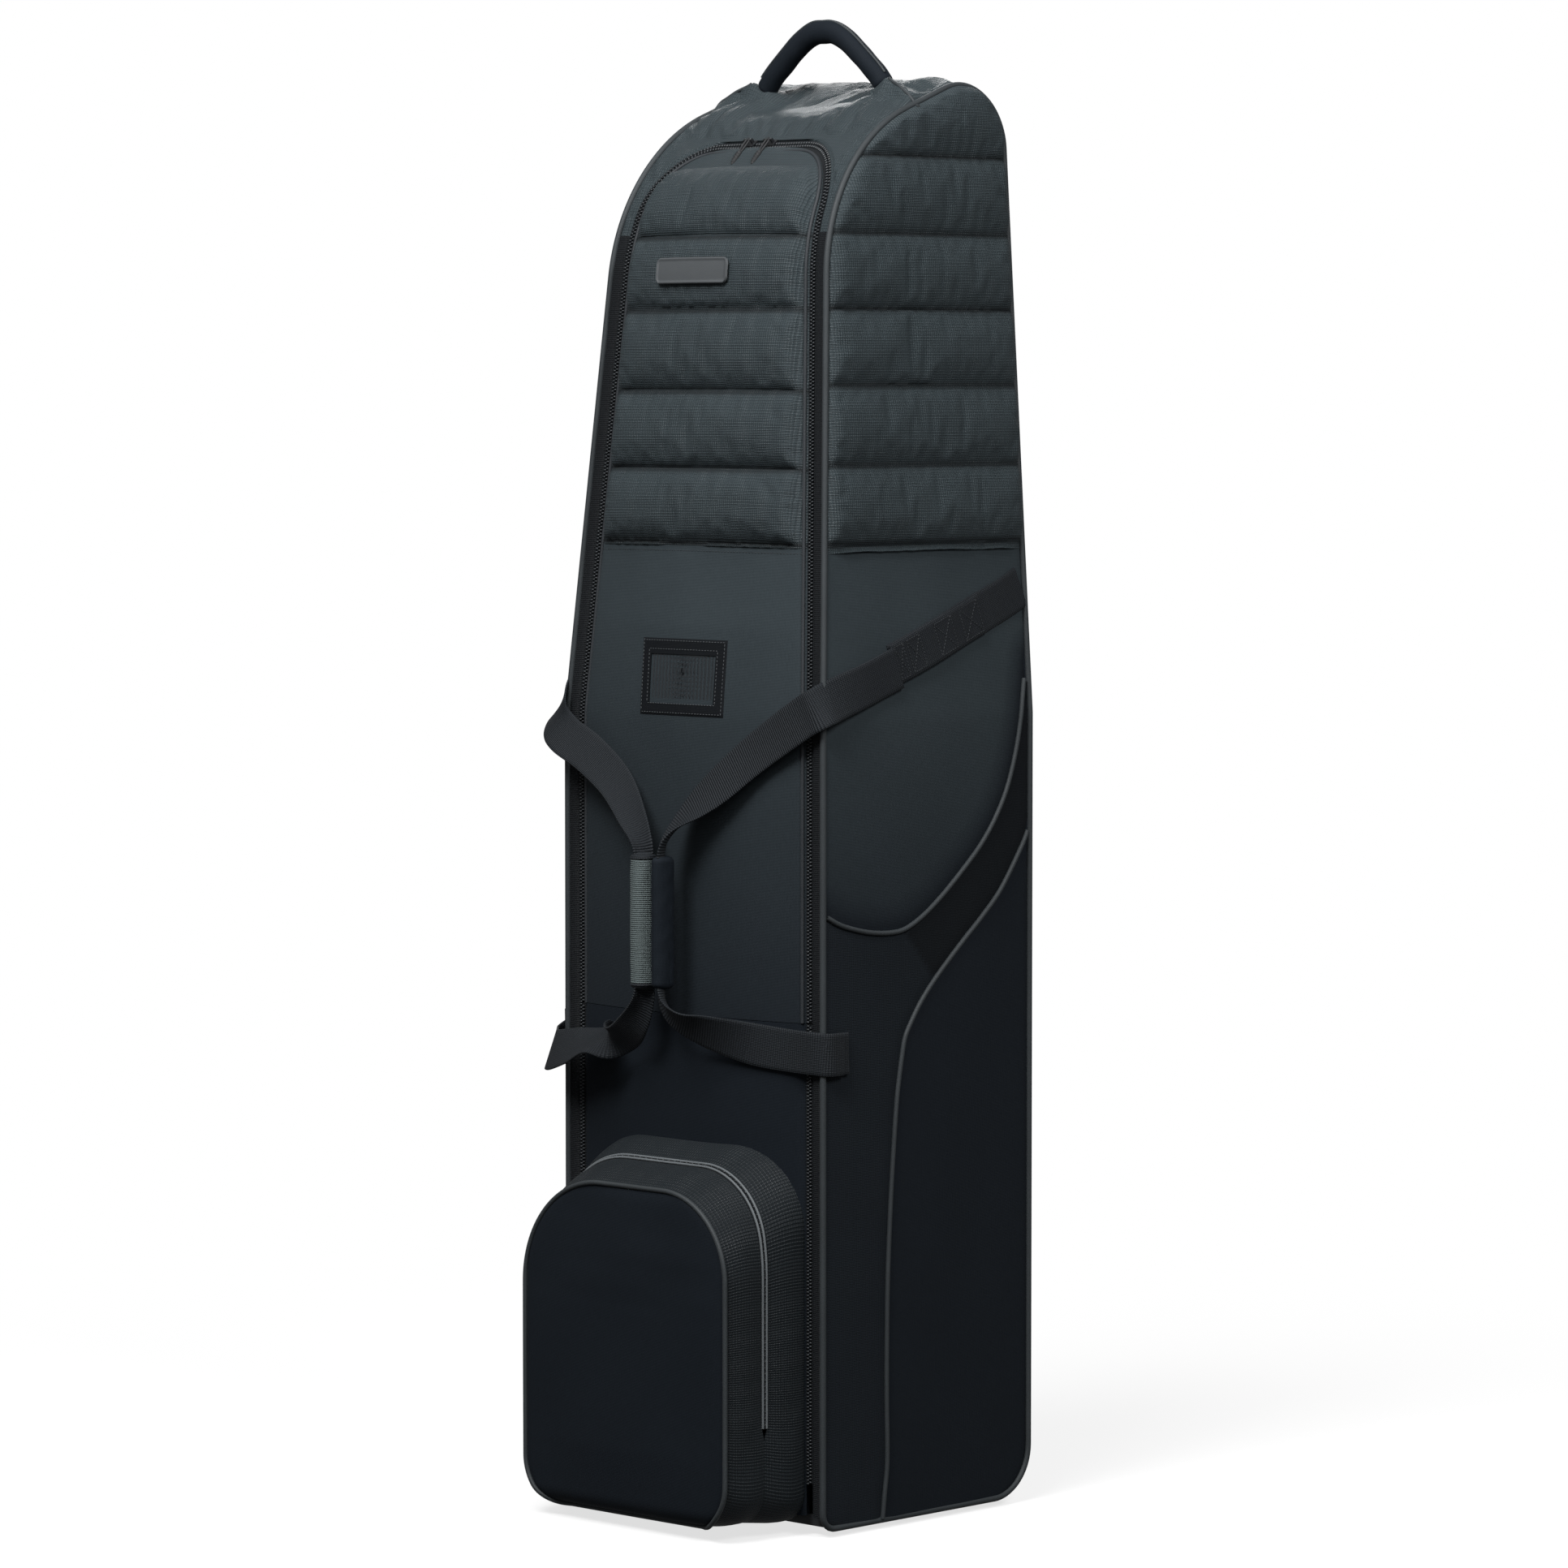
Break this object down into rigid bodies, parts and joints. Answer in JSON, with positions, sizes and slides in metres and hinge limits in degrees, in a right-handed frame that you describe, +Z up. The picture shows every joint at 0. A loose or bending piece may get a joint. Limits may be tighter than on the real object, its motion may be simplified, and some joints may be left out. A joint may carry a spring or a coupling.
{
  "type": "golf travel case",
  "caption": "Upright wheeled padded travel case for a bag of clubs, with a zipped front door, arched zip pocket, wrap-around carry straps with soft grips, and a top grab handle.",
  "frame": {"origin": "on the floor, under the middle of the case's bounding box", "axes": "+Z up, -Y towards the door and pocket, +X to the right of a viewer facing the door"},
  "size_m": [0.3508, 0.366, 1.3378],
  "materials": {
    "quilted_fabric": "honeycomb dobby polyester, quilted",
    "body_fabric": "plain woven polyester",
    "pocket_fabric": "plain woven polyester",
    "zipper_tape": "woven tape with moulded coil",
    "webbing": "ribbed webbing",
    "grip_fabric": "brushed fabric over foam",
    "handle_fabric": "plain woven polyester over foam",
    "moulded_plastic": "textured polypropylene",
    "rail_plastic": "smooth polyethylene",
    "buckle_plastic": "moulded acetal",
    "zip_metal": "black painted zinc",
    "pull_cord": "moulded cord pull",
    "foot_rubber": "matt rubber",
    "wheel_rubber": "satin polyurethane",
    "hub_plastic": "moulded nylon",
    "steel": "zinc plated",
    "window_film": "clear vinyl film",
    "patch_rubber": "smooth moulded rubber"
  },
  "bodies": {
    "shell": {"top_panel": "quilted_fabric", "back_panel": "body_fabric", "left_side_panel": "body_fabric", "right_side_panel": "body_fabric", "left_front_gusset": "body_fabric", "right_front_gusset": "body_fabric", "lower_front_panel": "body_fabric", "pocket_rear_gusset": "pocket_fabric", "pocket_lower_shell": "pocket_fabric", "shell_zipper_half": "zipper_tape", "lower_zipper_runs": "zipper_tape", "pocket_zipper_rear_half": "zipper_tape", "strap_rear_anchors": "webbing", "strap_front_anchors": "webbing", "cinch_webs": "webbing", "handle_anchors": "handle_fabric", "base_tray": "moulded_plastic", "kick_plate": "moulded_plastic", "left_wheel_housing": "moulded_plastic", "right_wheel_housing": "moulded_plastic", "skid_rails": "rail_plastic", "cinch_sockets": "buckle_plastic", "front_feet": "foot_rubber", "wheel_axles": "steel", "rail_screws": "steel", "foot_screws": "steel"},
    "door": {"door_panel": "body_fabric", "door_quilt_pad": "quilted_fabric", "door_zipper_half": "zipper_tape", "id_window_frame": "body_fabric", "id_window_pane": "window_film", "rubber_patch": "patch_rubber"},
    "left_slider": {"left_slider": "zip_metal"},
    "right_slider": {"right_slider": "zip_metal"},
    "left_pull": {"left_pull": "pull_cord"},
    "right_pull": {"right_pull": "pull_cord"},
    "pocket_flap": {"pocket_front_panel": "pocket_fabric", "pocket_front_gusset": "pocket_fabric", "pocket_zipper_front_half": "zipper_tape"},
    "pocket_slider": {"pocket_slider": "zip_metal"},
    "pocket_pull": {"pocket_pull": "pull_cord"},
    "left_strap": {"left_strap_upper_web": "webbing", "left_strap_lower_web": "webbing", "left_grip": "grip_fabric"},
    "right_strap": {"right_strap_upper_web": "webbing", "right_strap_lower_web": "webbing", "right_grip": "grip_fabric"},
    "top_handle": {"handle_sleeve": "handle_fabric", "handle_core": "webbing"},
    "left_wheel": {"left_tyre": "wheel_rubber", "left_hub": "hub_plastic", "left_bearings": "steel"},
    "right_wheel": {"right_tyre": "wheel_rubber", "right_hub": "hub_plastic", "right_bearings": "steel"},
    "lower_cinch": {"lower_cinch_prong": "buckle_plastic", "lower_cinch_web": "webbing"},
    "upper_cinch": {"upper_cinch_prong": "buckle_plastic", "upper_cinch_web": "webbing"}
  },
  "joints": [
    {"name": "door_fold", "type": "hinge", "parent": "shell", "child": "door", "pos_m": [0, -0.093, 0.455], "axis": [1, 0, 0], "range_deg": [0, 105]},
    {"name": "left_strap_swing", "type": "hinge", "parent": "shell", "child": "left_strap", "pos_m": [-0.164, -0.089, 0.429], "axis": [-0.009, -0.2324, -0.9726], "range_deg": [0, 105], "deforming": ["left_strap_upper_web", "left_strap_lower_web", "left_grip"]},
    {"name": "right_strap_swing", "type": "hinge", "parent": "shell", "child": "right_strap", "pos_m": [0.164, -0.089, 0.429], "axis": [-0.009, 0.2324, 0.9726], "range_deg": [0, 105], "deforming": ["right_strap_upper_web", "right_strap_lower_web", "right_grip"]},
    {"name": "left_slider_run", "type": "slide", "parent": "door", "child": "left_slider", "axis": [-1, 0, 0], "range_m": [0, 0.026]},
    {"name": "right_slider_run", "type": "slide", "parent": "door", "child": "right_slider", "axis": [1, 0, 0], "range_m": [0, 0.039]},
    {"name": "left_pull_swing", "type": "hinge", "parent": "left_slider", "child": "left_pull", "pos_m": [-0.019, -0.00346, 1.23544], "axis": [-1, 0, 0], "range_deg": [0, 120]},
    {"name": "right_pull_swing", "type": "hinge", "parent": "right_slider", "child": "right_pull", "pos_m": [0.006, -0.00346, 1.23544], "axis": [-1, 0, 0], "range_deg": [0, 120]},
    {"name": "pocket_fold", "type": "hinge", "parent": "shell", "child": "pocket_flap", "pos_m": [0, -0.183, 0.1], "axis": [1, 0, 0], "range_deg": [0, 60]},
    {"name": "pocket_slider_run", "type": "slide", "parent": "shell", "child": "pocket_slider", "axis": [0, 0, 1], "range_m": [0, 0.12]},
    {"name": "pocket_pull_swing", "type": "hinge", "parent": "pocket_slider", "child": "pocket_pull", "pos_m": [-0.13945, -0.13885, 0.13], "axis": [-0.1213, 0.9926, 0], "range_deg": [0, 120]},
    {"name": "handle_swing", "type": "hinge", "parent": "shell", "child": "top_handle", "pos_m": [0, 0.077, 1.287], "axis": [1, 0, 0], "range_deg": [-60, 60]},
    {"name": "left_wheel_spin", "type": "hinge", "parent": "shell", "child": "left_wheel", "pos_m": [-0.127, 0.143, 0.035], "axis": [1, 0, 0], "continuous": true},
    {"name": "right_wheel_spin", "type": "hinge", "parent": "shell", "child": "right_wheel", "pos_m": [0.127, 0.143, 0.035], "axis": [1, 0, 0], "continuous": true},
    {"name": "lower_cinch_release", "type": "slide", "parent": "shell", "child": "lower_cinch", "axis": [1, 0, 0], "range_m": [0, 0.025], "deforming": ["lower_cinch_web"]},
    {"name": "upper_cinch_release", "type": "slide", "parent": "shell", "child": "upper_cinch", "axis": [1, 0, 0], "range_m": [0, 0.025], "deforming": ["upper_cinch_web"]}
  ],
  "couplings": [
    {"joint": "left_strap_swing", "follows": "door_fold", "ratio": 1},
    {"joint": "right_strap_swing", "follows": "door_fold", "ratio": 1}
  ]
}
